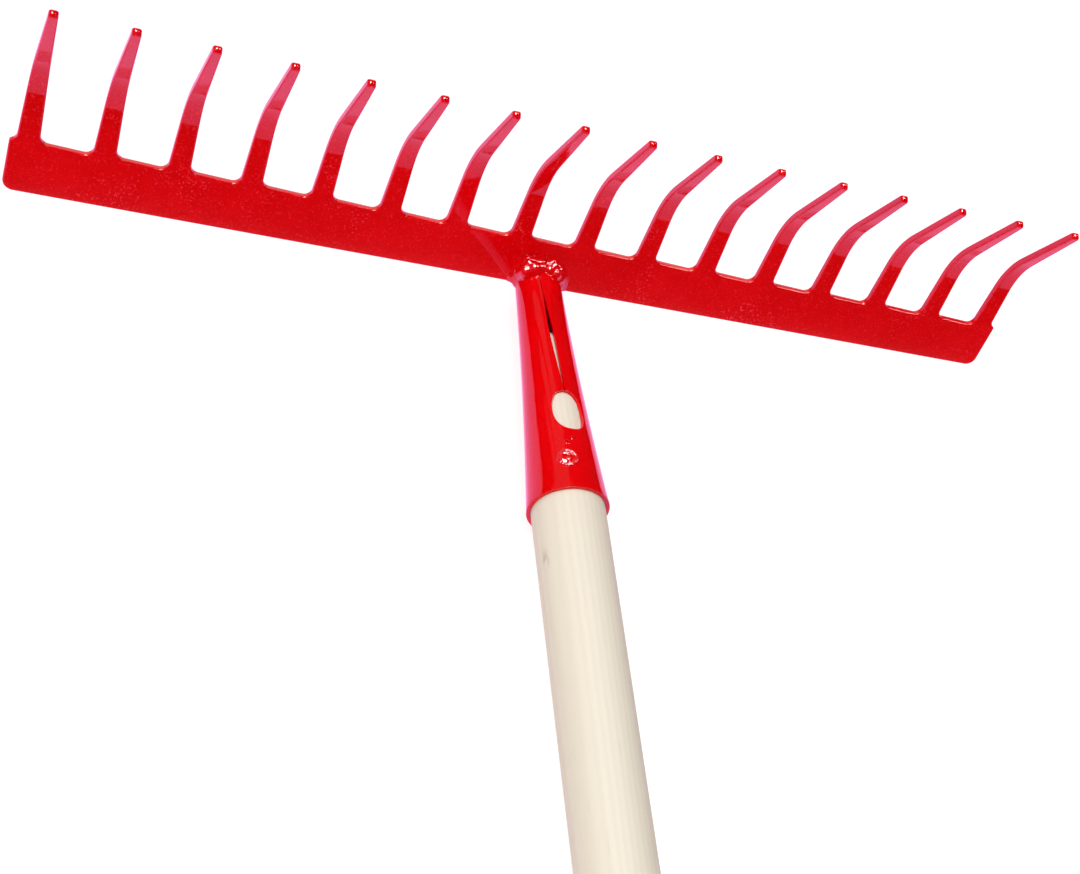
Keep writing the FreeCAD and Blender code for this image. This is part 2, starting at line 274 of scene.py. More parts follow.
@dataclass(frozen=True)
class Enamel:
    """Glossy red stoving enamel on steel, a little uneven in colour and texture, with painted glints:
    lighter pink specks in its colour that stand in for the sparkle of its orange peel.
    """

    name: str
    colour: Colour = (0.72, 0.0, 0.002, 1.0)
    deep: Colour = (0.62, 0.0, 0.001, 1.0)
    # painted glint: a lighter, pinker red that goes into the colour as small specks, standing in for the
    # sparkle of orange peel
    painted_glint: Colour = (0.84, 0.03, 0.06, 1.0)
    cloud: Grain = Grain(24.0, 3.0, 0.55)
    mottle: Grain = Grain(210.0)
    patches: Grain = Grain(38.0)
    patch_step: Step = (0.52, 0.68)
    fine: Grain = Grain(1150.0, 2.0, 0.6)
    cloud_share: float = 0.6
    depth_step: Step = (0.36, 0.66)
    fine_share: float = 0.3
    glint_step: Step = (0.54, 0.70)
    glint_share: float = 1.0
    glint_outside: float = 0.35
    peel_size: float = 1.7 * MM
    peel_depth: float = 0.016 * MM
    peel_roughness: float = 0.35
    grit_size: float = 2.6 * MM
    grit_share: float = 0.10
    grit_outside: float = 0.25
    grit_dullness: float = 0.18
    relief: Shares = (0.55, 0.25, 0.5)
    pips: tuple[Drop, ...] = ()
    pip_depth: float = 0.6 * MM
    runs: Grain = Grain(330.0, 2.0, 0.55, 0.07)
    run_depth: float = 0.0
    roughness: float = 0.05
    roughness_spread: float = 0.08
    specular: float = 0.28
    coat: float = 0.30
    coat_roughness: float = 0.03

    def material(self) -> bpy.types.Material:
        """Build the finish.

        Returns:
            The material.
        """
        shader = Shader.material(self.name)
        place = shader.place()
        cloud = shader.noise(place, self.cloud)
        mottle = shader.noise(place, self.mottle)
        fine = shader.noise(place, self.fine)
        patch = shader.noise(place, self.patches).between(*self.patch_step)
        grit = shader.flecks(place, 1.0 / self.grit_size, self.grit_share)
        grit = grit * (self.grit_outside + (1 - self.grit_outside) * patch)
        depth = (cloud * self.cloud_share + mottle * (1 - self.cloud_share)).between(*self.depth_step)
        colour = shader.mix(self.deep, self.colour, depth * (1 - self.fine_share) + fine * self.fine_share)
        # painted glints: lighter pink specks where the fine noise falls in a band, with more of them in the
        # patches
        painted_glints = fine.between(*self.glint_step) * (self.glint_outside + (1 - self.glint_outside) * patch)
        return shader.finish(
            Base_Color=shader.mix(colour, self.painted_glint, painted_glints * self.glint_share),
            Roughness=self.roughness + self.roughness_spread * mottle * cloud + self.grit_dullness * grit,
            Normal=self.surface(shader, place, mottle, grit),
            Specular_IOR_Level=self.specular,
            Coat_Weight=self.coat,
            Coat_Roughness=self.coat_roughness,
        )

    def surface(self, shader: Shader, place: Sock, mottle: Sock, grit: Sock) -> Sock:
        """The enamel's uneven surface.

        Args:
            shader: The shader to add to.
            place: Where the surface is read.
            mottle: The pattern of its broad waves.
            grit: The pattern of its grit.

        Returns:
            The tilted normal.
        """
        peel = shader.noise(place, Grain(1.0 / self.peel_size, 1.0, self.peel_roughness))
        height = peel * self.relief[0] + mottle * self.relief[1] + grit * self.relief[2]
        normal = shader.bump(height, self.peel_depth)
        if self.run_depth:
            normal = shader.bump(shader.noise(place, self.runs), self.run_depth, 1.0, normal)
        if self.pips:
            drops = sum(self.pip(shader, place, pip) for pip in self.pips)
            normal = shader.bump(drops, self.pip_depth, 1.0, normal)
        return normal

    @staticmethod
    def pip(shader: Shader, place: Sock, pip: Drop) -> Sock:
        """The height of a small round drop of enamel.

        Args:
            shader: The shader to add to.
            place: Where the height is read.
            pip: The drop.

        Returns:
            Its height, from 0 to 1.
        """
        *centre, radius = (length * MM for length in pip)
        away = shader.vector("DISTANCE", place, centre, "Value")
        return 1.0 - away.between(0.0, radius)


@dataclass(frozen=True)
class PaleWood:
    """Smooth, unvarnished pale hardwood with a straight faint grain and a pin knot."""

    name: str = "pale_turned_wood"
    light: Colour = (0.70, 0.635, 0.525, 1.0)
    warm: Colour = (0.66, 0.59, 0.475, 1.0)
    vessel: Colour = (0.56, 0.48, 0.38, 1.0)
    knot: Colour = (0.40, 0.28, 0.21, 1.0)
    ring_width: float = 2.3 * MM
    heart: tuple[float, float] = (-31 * MM, 17 * MM)
    wander: Grain = Grain(26.0, squeeze=0.11)
    wander_rings: float = 3.1
    fibre: Grain = Grain(640.0, 3.0, 0.6, 0.035)
    tone: Grain = Grain(34.0, squeeze=0.11)
    grain_shares: Shares = (0.42, 0.38, 0.35)
    grain_step: Step = (0.10, 1.35)
    vessels: Grain = Grain(1500.0, 1.0, squeeze=0.05)
    vessel_step: Step = (0.66, 0.76)
    vessel_strength: tuple[float, float] = (0.08, 0.22)
    knot_place: Place = (-12.8 * MM, -24.7 * MM, 3.6 * MM)
    knot_size: float = 4.6 * MM
    knot_squeeze: float = 0.55
    knot_core: float = 0.3
    knot_blur: float = 0.5
    knot_strength: float = 0.55
    bark: Grain = Grain(900.0, squeeze=0.25)
    bark_step: Step = (0.40, 0.62)
    relief: Shares = (0.5, -0.35, 0.15)
    relief_depth: float = 0.05 * MM
    relief_strength: float = 0.7
    roughness: Shares = (0.52, 0.16, 0.08)
    specular: float = 0.28

    def material(self) -> bpy.types.Material:
        """Build the finish.

        Returns:
            The material.
        """
        shader = Shader.material(self.name)
        place = shader.place()
        across = shader.axis(place, "X") - self.heart[0]
        upward = shader.axis(place, "Z") - self.heart[1]
        wander = shader.noise(place, self.wander) * (self.wander_rings * self.ring_width)
        radius = (across * across + upward * upward) ** 0.5 + wander
        rings = (radius * (2 * math.pi / self.ring_width)).sine() * 0.5 + 0.5
        fibre = shader.noise(place, self.fibre)
        vessels = shader.noise(place, self.vessels).between(*self.vessel_step)
        tone = shader.noise(place, self.tone)
        grain = rings * self.grain_shares[0] + fibre * self.grain_shares[1] + tone * self.grain_shares[2]
        colour = shader.mix(self.light, self.warm, grain.between(*self.grain_step))
        strength = self.vessel_strength[0] + self.vessel_strength[1] * rings
        colour = shader.mix(colour, self.vessel, vessels * strength)
        colour = shader.mix(colour, self.knot, self._knot(shader, place) * self.knot_strength)
        height = fibre * self.relief[0] + vessels * self.relief[1] + rings * self.relief[2]
        return shader.finish(
            Base_Color=colour,
            Roughness=self.roughness[0] + self.roughness[1] * fibre + self.roughness[2] * rings,
            Normal=shader.bump(height, self.relief_depth, self.relief_strength),
            Specular_IOR_Level=self.specular,
        )

    def _knot(self, shader: Shader, place: Sock) -> Sock:
        """The mask of a pin knot with a short dark bark line beside it.

        Args:
            shader: The shader to add to.
            place: Where the mask is read.

        Returns:
            The mask.
        """
        from_knot = shader.vector("SUBTRACT", place, self.knot_place)
        squeezed = shader.vector("MULTIPLY", from_knot, (1.0, self.knot_squeeze, 1.0))
        away = shader.vector("LENGTH", squeezed, (0.0, 0.0, 0.0), "Value")
        blur = shader.noise(place, self.bark)
        ragged = away + blur * (self.knot_size * self.knot_blur)
        inside = 1.0 - ragged.between(self.knot_size * self.knot_core, self.knot_size)
        return inside * blur.between(*self.bark_step)


@dataclass(frozen=True)
class ZincPlate:
    """Bright zinc plating on a small screw."""

    name: str = "zinc_plate"
    light: Colour = (0.66, 0.67, 0.68, 1.0)
    dull: Colour = (0.45, 0.46, 0.46, 1.0)
    cloud: Grain = Grain(420.0, 3.0)
    cloud_step: Step = (0.35, 0.65)
    scratches: Grain = Grain(2600.0, squeeze=0.15)
    scratch_depth: float = 0.01 * MM
    metallic: float = 0.92
    roughness: tuple[float, float] = (0.24, 0.20)

    def material(self) -> bpy.types.Material:
        """Build the finish.

        Returns:
            The material.
        """
        shader = Shader.material(self.name)
        place = shader.place()
        cloud = shader.noise(place, self.cloud)
        scratch = shader.noise(place, self.scratches)
        return shader.finish(
            Base_Color=shader.mix(self.dull, self.light, cloud.between(*self.cloud_step)),
            Metallic=self.metallic,
            Roughness=self.roughness[0] + self.roughness[1] * scratch * cloud,
            Normal=shader.bump(scratch, self.scratch_depth),
        )


# ---- Modelling by hand ------------------------------------------------------------------------
def deselect_all() -> None:
    """Leave nothing selected and nothing in edit mode."""
    if bpy.context.object and bpy.context.object.mode != "OBJECT":
        bpy.ops.object.mode_set(mode="OBJECT")
    bpy.ops.object.select_all(action="DESELECT")


def activate(piece: bpy.types.Object) -> None:
    """Select one piece and make it the active one.

    Args:
        piece: The piece.
    """
    deselect_all()
    piece.select_set(True)
    bpy.context.view_layer.objects.active = piece


@contextmanager
def editing(piece: bpy.types.Object) -> Iterator[None]:
    """Work on a piece in edit mode, with nothing selected at first.

    Args:
        piece: The piece.

    Yields:
        Nothing, while the piece is in edit mode.
    """
    activate(piece)
    bpy.ops.object.mode_set(mode="EDIT")
    bpy.ops.mesh.select_all(action="DESELECT")
    yield
    bpy.ops.object.mode_set(mode="OBJECT")


class Pick(Enum):
    """What is picked in edit mode."""

    POINTS = "VERT"
    EDGES = "EDGE"


def pick(piece: bpy.types.Object, wanted: Callable[[Vector], bool], what: Pick = Pick.POINTS) -> None:
    """Select what lies where a test says, in edit mode.

    Args:
        piece: The piece being edited.
        wanted: The test of a point's place; an edge needs both of its points.
        what: Whether points or edges are selected.
    """
    bpy.ops.mesh.select_mode(type=what.value)
    mesh = bmesh.from_edit_mesh(piece.data)
    for part in (*mesh.faces, *mesh.edges, *mesh.verts):
        part.select = False
    if what is Pick.POINTS:
        chosen = [point for point in mesh.verts if wanted(point.co)]
    else:
        chosen = [edge for edge in mesh.edges if all(wanted(point.co) for point in edge.verts)]
    for part in chosen:
        part.select_set(True)
    mesh.select_flush_mode()
    bmesh.update_edit_mesh(piece.data)


def near(first: float, second: float, gap: float = 0.02 * MM) -> bool:
    """Whether two lengths are the same, but for a small gap."""
    return abs(first - second) < gap


def extrude(step: Place, scale: Place = (1, 1, 1), pivot: Place = (0, 0, 0)) -> None:
    """Extrude the selection by a step and scale its new end.

    Args:
        step: How far it goes.
        scale: The new end's scale along each axis.
        pivot: What it is scaled about.
    """
    bpy.ops.mesh.extrude_region_move(TRANSFORM_OT_translate={"value": step})
    if scale != (1, 1, 1):
        bpy.ops.transform.resize(value=scale, center_override=pivot)


def modify(piece: bpy.types.Object, kind: str, **settings: object) -> None:
    """Add a modifier to a piece and apply it.

    Args:
        piece: The piece.
        kind: The modifier's type.
        settings: Its settings.
    """
    activate(piece)
    modifier = piece.modifiers.new(kind.lower(), kind)
    for key, value in settings.items():
        setattr(modifier, key, value)
    bpy.ops.object.modifier_apply(modifier=modifier.name)


def settle(piece: bpy.types.Object, place: Matrix = Matrix.Identity(4)) -> None:
    """Put a piece's own place into its mesh, and then move the mesh to another place."""
    piece.data.transform(place @ piece.matrix_world)
    piece.matrix_world = Matrix.Identity(4)


def smooth(piece: bpy.types.Object, degrees: float = 34.0) -> None:
    """Shade a piece smooth, apart from edges where its faces turn by more than an angle."""
    activate(piece)
    bpy.ops.object.shade_smooth_by_angle(angle=math.radians(degrees), keep_sharp_edges=True)


def is_sharp(edge: bmesh.types.BMEdge, degrees: float = 40.0) -> bool:
    """Whether two faces meet sharply at an edge."""
    return len(edge.link_faces) == 2 and edge.calc_face_angle(0.0) > math.radians(degrees)


def round_edges(
    piece: bpy.types.Object, width: float, share: Callable[[bmesh.types.BMEdge], float]
) -> None:
    """Round a piece's edges, each by its own share of a width.

    Args:
        piece: The piece.
        width: The widest rounding.
        share: The share of the width that an edge gets.
    """
    mesh = bmesh.new()
    mesh.from_mesh(piece.data)
    layer = mesh.edges.layers.float.new("bevel_weight_edge")
    for edge in mesh.edges:
        edge[layer] = share(edge)
    mesh.to_mesh(piece.data)
    mesh.free()
    settings = {"limit_method": "WEIGHT", "width": width, "segments": EDGE_SEGMENTS}
    modify(piece, "BEVEL", use_clamp_overlap=True, **settings)


def add_circle(sides: int, radius: float, y: float, fill: str = "NOTHING") -> None:
    """Add a circle round the handle's centre line.

    Args:
        sides: How many sides it has.
        radius: Its radius.
        y: Its distance from the socket's mouth.
        fill: What fills it.
    """
    turn = (math.pi / 2, 0, 0)
    bpy.ops.mesh.primitive_circle_add(
        vertices=sides, radius=radius, fill_type=fill, location=(0, y, 0), rotation=turn,
    )


def named(name: str, material: bpy.types.Material) -> bpy.types.Object:
    """Name the active object and give it a material.

    Args:
        name: Its name.
        material: Its only material.

    Returns:
        The object.
    """
    piece = bpy.context.object
    piece.name = name
    piece.data.name = name
    dress(piece, material)
    return piece


def dress(piece: bpy.types.Object, material: bpy.types.Material) -> None:
    """Give a piece one material in place of those that it has."""
    piece.data.materials.clear()
    piece.data.materials.append(material)


def fit_in(piece: bpy.types.Object, slot: str, *nodes: str) -> None:
    """Ride a piece on the rake, in place of the CAD nodes that it stands for.

    Args:
        piece: The finished piece.
        slot: The name of its material slot, which is not used.
        nodes: The nodes that it replaces.
    """
    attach(piece, "root")
    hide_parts(*nodes)
    LOG.info("%s: %d faces, in place of %s", piece.name, len(piece.data.polygons), ", ".join(nodes))


# ---- Sub-assemblies ---------------------------------------------------------------------------
@dataclass
class ToothedPlate:
    """The stamped steel plate: a bar with a row of tapered teeth, bent forward."""

    paint: bpy.types.Material
    count: int = 16
    pitch: float = 26 * MM
    root_width: float = 8 * MM
    tip_width: float = 3.2 * MM
    straight: float = 19 * MM
    bend_radius: float = 28.5 * MM
    bend: float = math.radians(35.5)
    end_run: float = 31.5 * MM
    thickness: float = 3 * MM
    bar_height: float = 20 * MM
    corner_radius: float = 4 * MM
    corner_segments: int = 7
    gap_radius: float = 3 * MM
    gap_segments: int = 6
    gap_slope: float = math.radians(2.5)
    neck: float = 4.4 * MM
    edge_round: float = 0.7 * MM
    tip_round: float = 1.45 * MM
    tip_share: float = 0.7
    bend_steps: int = 12
    end_steps: int = 2
    flatness: int = 80
    lean: float = PLATE_LEAN
    seat_height: float = 1.9 * MM
    seat_distance: float = SOCKET_LENGTH

    @property
    def bar_half(self) -> float:
        """Half the bar's length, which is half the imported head's width."""
        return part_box("toothed_plate")[1].x

    @property
    def length(self) -> float:
        """A tooth's length along its front face."""
        return self.straight + self.bend_radius * self.bend + self.end_run

    def stand(self) -> Matrix:
        """Where the plate's own frame stands: x along the bar, y to the tips, z out of the front.

        Returns:
            The plate's place in the row frame.
        """
        turn = Matrix.Rotation(math.pi / 2 - self.lean, 4, "X")
        seat = Matrix.Translation((0, -self.seat_height, 0))
        return Matrix.Translation((0, self.seat_distance, 0)) @ turn @ seat

    def on_tooth(self, along: float) -> tuple[float, float, float]:
        """A point on a tooth's front face.

        Args:
            along: How far it is along the face from the gap floor.

        Returns:
            Its height, how far forward it is, and the tooth's width there.
        """
        turned = min(max(along - self.straight, 0.0) / self.bend_radius, self.bend)
        past = max(along - self.straight - self.bend_radius * self.bend, 0.0)
        height = min(along, self.straight)
        height += self.bend_radius * math.sin(turned) + past * math.cos(turned)
        forward = self.bend_radius * (1 - math.cos(turned)) + past * math.sin(turned)
        width = self.root_width + (self.tip_width - self.root_width) * along / self.length
        return self.bar_height + height, forward, width

    def stations(self) -> list[float]:
        """Where along a tooth it has an edge across it, from the start of the bend to the tip.

        Returns:
            The distances along the front face.
        """
        arc = self.bend_radius * self.bend
        bend = [self.straight + arc * step / self.bend_steps for step in range(self.bend_steps + 1)]
        steps = range(1, self.end_steps + 1)
        return bend + [self.straight + arc + self.end_run * step / self.end_steps for step in steps]

    def module(self) -> bpy.types.Object:
        """One tooth with half a gap on each side, as the front face only.

        Returns:
            The sheet.
        """
        bpy.ops.mesh.primitive_plane_add(size=1)
        sheet = named("toothed_plate_enamelled", self.paint)
        sheet.data.transform(Matrix.Diagonal((self.pitch, self.bar_height, 1, 1)))
        sheet.data.transform(Matrix.Translation((0, self.bar_height / 2, 0)))
        half_root = self.root_width / 2
        with editing(sheet):
            for side in (-1, 1):
                bpy.ops.mesh.select_all(action="SELECT")
                bpy.ops.mesh.bisect(plane_co=(side * half_root, 0, 0), plane_no=(1, 0, 0))
            pick(sheet, lambda co: near(co.y, self.bar_height) and abs(co.x) < half_root + MM, Pick.EDGES)
            width = self.on_tooth(self.neck)[2] / self.root_width
            extrude((0, self.neck, 0), (width, 1, 1))
            bpy.ops.mesh.select_all(action="SELECT")
            bpy.ops.mesh.dissolve_limited(angle_limit=math.radians(1))
            fall = math.tan(self.gap_slope) * (self.pitch - self.root_width) / 2
            for side in (-1, 1):
                pick(sheet, lambda co: near(co.x, side * half_root) and near(co.y, self.bar_height))
                bpy.ops.transform.translate(value=(0, side * fall, 0))
            pick(sheet, lambda co: near(abs(co.x), half_root) and near(co.y, self.bar_height, MM))
            bpy.ops.mesh.bevel(offset=self.gap_radius, segments=self.gap_segments, affect="VERTICES")
            pick(sheet, lambda co: near(co.y, self.bar_height + self.neck), Pick.EDGES)
            height, forward, width = self.on_tooth(self.neck)
            for along in self.stations():
                new_height, new_forward, new_width = self.on_tooth(along)
                extrude((0, new_height - height, new_forward - forward), (new_width / width, 1, 1))
                height, forward, width = new_height, new_forward, new_width
        return sheet

    def build(self) -> bpy.types.Object:
        """Model the plate, dress it and put it on the rake.

        Returns:
            The piece.
        """
        plate = self.module()
        modify(
            plate,
            "ARRAY",
            count=self.count,
            use_relative_offset=False,
            use_constant_offset=True,
            constant_offset_displace=(self.pitch, 0, 0),
            use_merge_vertices=True,
            merge_threshold=0.01 * MM,
        )
        plate.data.transform(Matrix.Translation((-self.pitch * (self.count - 1) / 2, 0, 0)))
        half = self.bar_half
        with editing(plate):
            for side in (-1, 1):
                bpy.ops.mesh.select_all(action="SELECT")
                end = (side * half, 0, 0)
                bpy.ops.mesh.bisect(plane_co=end, plane_no=(side, 0, 0), clear_outer=True)
            pick(plate, lambda co: near(abs(co.x), half) and near(co.y, 0.0))
            bpy.ops.mesh.bevel(offset=self.corner_radius, segments=self.corner_segments, affect="VERTICES")
            bpy.ops.mesh.select_all(action="SELECT")
            bpy.ops.mesh.normals_make_consistent(inside=False)
        if plate.data.polygons[0].normal.z < 0:
            plate.data.flip_normals()
        modify(plate, "SOLIDIFY", thickness=self.thickness, offset=-1.0, use_even_offset=True)
        round_edges(plate, self.tip_round, self.edge_share)
        smooth(plate)
        modify(plate, "WEIGHTED_NORMAL", weight=self.flatness, keep_sharp=True)
        settle(plate, self.stand())
        fit_in(plate, "red_paint_plate", "toothed_plate")
        return plate

    def edge_share(self, edge: bmesh.types.BMEdge) -> float:
        """The share of a tip's rounding that an edge gets: all at a tip, and less elsewhere.

        Args:
            edge: The edge.

        Returns:
            The share.
        """
        if not is_sharp(edge):
            return 0.0
        tip = self.on_tooth(self.length)[0] - self.thickness * self.tip_share
        at_tip = min(point.co.y for point in edge.verts) > tip
        return 1.0 if at_tip else self.edge_round / self.tip_round


@dataclass
class RolledSocket:
    """The tapered socket, rolled from sheet, with an open seam that ends in an oval relief hole."""

    paint: bpy.types.Material
    length: float = SOCKET_LENGTH
    wall: float = 1.4 * MM
    neck_radius: float = 8.8 * MM
    waist: float = 0.75 * MM
    lean: float = PLATE_LEAN
    seam_width: float = 1.55 * MM
    seam_start: float = 14 * MM
    seam_skew: float = math.tan(math.radians(2.4))
    seam_peak: float = 0.62
    seam_narrow: float = 0.14
    seam_fullness: float = 1.6
    crease_width: float = 0.2 * MM
    hole_length: float = 18.6 * MM
    hole_width: float = 12.4 * MM
    hole_from_mouth: float = 36.4 * MM
    hole_squareness: float = 2.3
    lip_round: float = 0.36 * MM
    mouth_round: float = 0.04 * MM
    lean_share: float = 0.2
    sharp: float = 50.0
    columns: int = 128
    below_rows: int = 9
    hole_rows: int = 26
    seam_rows: int = 22
    end_rows: int = 10

    mouth_radius: float = field(init=False)

    def __post_init__(self) -> None:
        """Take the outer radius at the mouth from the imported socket."""
        self.mouth_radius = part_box("socket")[1].x + self.mouth_round

    def radius(self, y: float) -> float:
        """The outer radius, which narrows to the neck and is a little waisted.

        Args:
            y: The distance from the mouth.

        Returns:
            The radius.
        """
        share = y / self.length
        straight = self.mouth_radius + (self.neck_radius - self.mouth_radius) * share
        return straight - 4 * self.waist * share * (1 - share)

    def rows(self) -> list[float]:
        """Where the sheet has an edge all round: closest at the ends of the relief hole.

        Returns:
            The distances from the mouth.
        """
        half = self.hole_length / 2
        low, high = self.hole_from_mouth - half, self.hole_from_mouth + half
        below = [low * step / self.below_rows for step in range(self.below_rows)]
        turns = [math.pi * step / self.hole_rows for step in range(self.hole_rows)]
        hole = [self.hole_from_mouth - half * math.cos(turn) for turn in turns]
        start = self.length - self.seam_start
        seam = [high + (start - high) * step / self.seam_rows for step in range(self.seam_rows)]
        end = [start + self.seam_start * step / self.end_rows for step in range(self.end_rows + 1)]
        return below + hole + seam + end

    def half_opening(self, y: float) -> float:
        """Half the width of the opening: the relief hole, the lens of the open seam, or its closed crease.

        Args:
            y: The distance from the mouth.

        Returns:
            Half the opening's width.
        """
        share = (y - self.hole_from_mouth) / (self.hole_length / 2)
        power = self.hole_squareness
        hole = self.hole_width / 2 * max(0.0, 1 - abs(share) ** power) ** (1 / power)
        start = self.length - self.seam_start
        seam_low = self.hole_from_mouth + self.hole_length / 4
        along = (y - seam_low) / (start - seam_low)
        lens = 0.0
        if 0 < along < 1:
            peak = self.seam_peak
            rise = along / peak if along < peak else (1 - along) / (1 - peak)
            shape = math.sin(rise * math.pi / 2) ** self.seam_fullness
            lens = self.seam_width / 2 * (self.seam_narrow + (1 - self.seam_narrow) * shape)
        crease = self.crease_width / 2 if y > start - MM else 0.0
        return max(hole, lens, crease)

    def build(self) -> bpy.types.Object:
        """Model the socket, dress it and put it on the rake.

        Returns:
            The piece.
        """
        rows = self.rows()
        last = len(rows) - 1
        bpy.ops.mesh.primitive_grid_add(x_subdivisions=self.columns, y_subdivisions=last, size=1)
        socket = named("socket_enamelled", self.paint)
        for vertex in socket.data.vertices:
            column, row = vertex.co.x + 0.5, vertex.co.y + 0.5
            vertex.co = self.rolled(column, rows[round(row * last)])
        with editing(socket):
            bpy.ops.mesh.select_all(action="SELECT")
            bpy.ops.mesh.remove_doubles(threshold=0.02 * MM)
            bpy.ops.mesh.normals_make_consistent(inside=False)
        face = socket.data.polygons[0]
        if Vector((face.center.x, 0, face.center.z)).dot(face.normal) < 0:
            socket.data.flip_normals()
        modify(socket, "SOLIDIFY", thickness=self.wall, offset=-1.0, use_even_offset=True)
        round_edges(socket, self.lip_round, lambda edge: float(is_sharp(edge, self.sharp)))
        smooth(socket)
        settle(socket)
        fit_in(socket, "red_paint_socket", "socket")
        return socket

    def rolled(self, column: float, y: float) -> Vector:
        """Where a point of the flat sheet goes when the sheet is rolled.

        Args:
            column: From 0 at the seam's right edge to 1 at its left edge.
            y: Its distance from the mouth.

        Returns:
            The point.
        """
        radius = self.radius(y)
        opening = self.half_opening(y) / radius
        middle = -self.seam_skew * (y - self.hole_from_mouth) / radius
        above_hole = 1.0 if y > self.hole_from_mouth + self.hole_length / 3 else 0.0
        angle = middle * above_hole + opening + column * 2 * (math.pi - opening)
        top = radius * math.cos(angle)
        reach = max(0.0, 1 - (self.length - y) / (self.length * self.lean_share))
        return Vector((radius * math.sin(angle), y + reach * top * math.tan(self.lean), top))


@dataclass
class TurnedHandle:
    """The wooden handle: a nose inside the socket, a plain round grip and a domed butt."""

    wood: bpy.types.Material
    socket: RolledSocket
    fit: float = 0.15 * MM
    inside: float = 77 * MM
    nose_shares: tuple[float, ...] = (0.2, 0.45, 0.7, 0.96)
    nose_blunt: float = 1.6 * MM
    grip_shares: tuple[float, ...] = (0.75, 0.5, 0.25, 0.12, 0.04, 0.0)
    butt_round: float = 9 * MM
    butt_steps: int = 7
    sides: int = 112

    def stations(self) -> list[tuple[float, float]]:
        """The rings of the handle, from the butt to the nose.

        Returns:
            Each ring's distance from the mouth and its radius.
        """
        low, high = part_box("handle")
        radius = high.x
        butt = []
        for step in range(1, self.butt_steps + 1):
            turn = math.pi / 2 * step / self.butt_steps
            fall = self.butt_round * (1 - math.sin(turn))
            butt.append((low.y + self.butt_round * (1 - math.cos(turn)), radius - fall))
        grip = [(low.y * share, radius) for share in self.grip_shares]
        inset = self.socket.wall + self.fit
        places = [self.inside * share for share in self.nose_shares]
        nose = [(y, self.socket.radius(y) - inset) for y in places]
        blunt = [(self.inside, nose[-1][1] - self.nose_blunt)]
        return butt + grip + nose + blunt

    def build(self) -> bpy.types.Object:
        """Model the handle, dress it and put it on the rake.

        Returns:
            The piece.
        """
        low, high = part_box("handle")
        y, radius = low.y, high.x - self.butt_round
        add_circle(self.sides, radius, y, "NGON")
        handle = named("turned_handle", self.wood)
        settle(handle)
        with editing(handle):
            bpy.ops.mesh.select_all(action="SELECT")
            for new_y, new_radius in self.stations():
                scale = new_radius / radius
                extrude((0, new_y - y, 0), (scale, 1, scale), (0, new_y, 0))
                y, radius = new_y, new_radius
            bpy.ops.mesh.select_all(action="SELECT")
            bpy.ops.mesh.normals_make_consistent(inside=False)
        smooth(handle, degrees=40.0)
        fit_in(handle, "pale_wood", "handle")
        return handle


@dataclass(frozen=True)
class Lump:
    """A drop of weld metal, as a stretched ball."""

    place: Place
    size: Place


@dataclass
class Skirt:
    """A hollow fillet of weld metal round a part of the socket's end."""

    cuts: tuple[tuple[Place, Place], ...]
    tube_radius: float = 8.9 * MM
    inner_radius: float = 7.8 * MM
    foot_radius: float = 13.0 * MM
    start: float = 103.2 * MM
    plate_y: float = SOCKET_LENGTH
    sunk: float = 1.2 * MM
    lean: float = math.tan(PLATE_LEAN)
    steps: int = 8
    sides: int = 96

    def profile(self) -> list[tuple[float, float]]:
        """The rings of the fillet, from its hollow face round to where it starts on the tube.

        Returns:
            Each ring's radius and its distance from the socket's mouth.
        """
        start, foot, inner = self.tube_radius, self.foot_radius, self.inner_radius
        rings = []
        for step in range(1, self.steps + 1):
            share = step / self.steps
            along, out = (1 - share) ** 2, share ** 2
            radius = start + out * (foot - start)
            rings.append((radius, self.plate_y - along * (self.plate_y - self.start)))
        end = self.plate_y + self.sunk
        return [*rings, (foot, end), (inner, end), (inner, self.start), (start, self.start)]

    def build(self) -> bpy.types.Object:
        """Turn the fillet, keep what lies inside its cuts and lean it to the plate.

        Returns:
            The closed piece.
        """
        radius, y = self.tube_radius, self.start
        add_circle(self.sides, radius, y)
        fillet = bpy.context.object
        settle(fillet)
        with editing(fillet):
            bpy.ops.mesh.select_mode(type="EDGE")
            bpy.ops.mesh.select_all(action="SELECT")
            for new_radius, new_y in self.profile():
                scale = new_radius / radius
                extrude((0, new_y - y, 0), (scale, 1, scale), (0, new_y, 0))
                radius, y = new_radius, new_y
            bpy.ops.mesh.select_all(action="SELECT")
            bpy.ops.mesh.remove_doubles(threshold=0.01 * MM)
            bpy.ops.mesh.normals_make_consistent(inside=False)
            for place, normal in self.cuts:
                bpy.ops.mesh.select_all(action="SELECT")
                bpy.ops.mesh.bisect(plane_co=place, plane_no=normal, clear_outer=True, use_fill=True)
        for vertex in fillet.data.vertices:
            vertex.co.y += vertex.co.z * self.lean
        return fillet


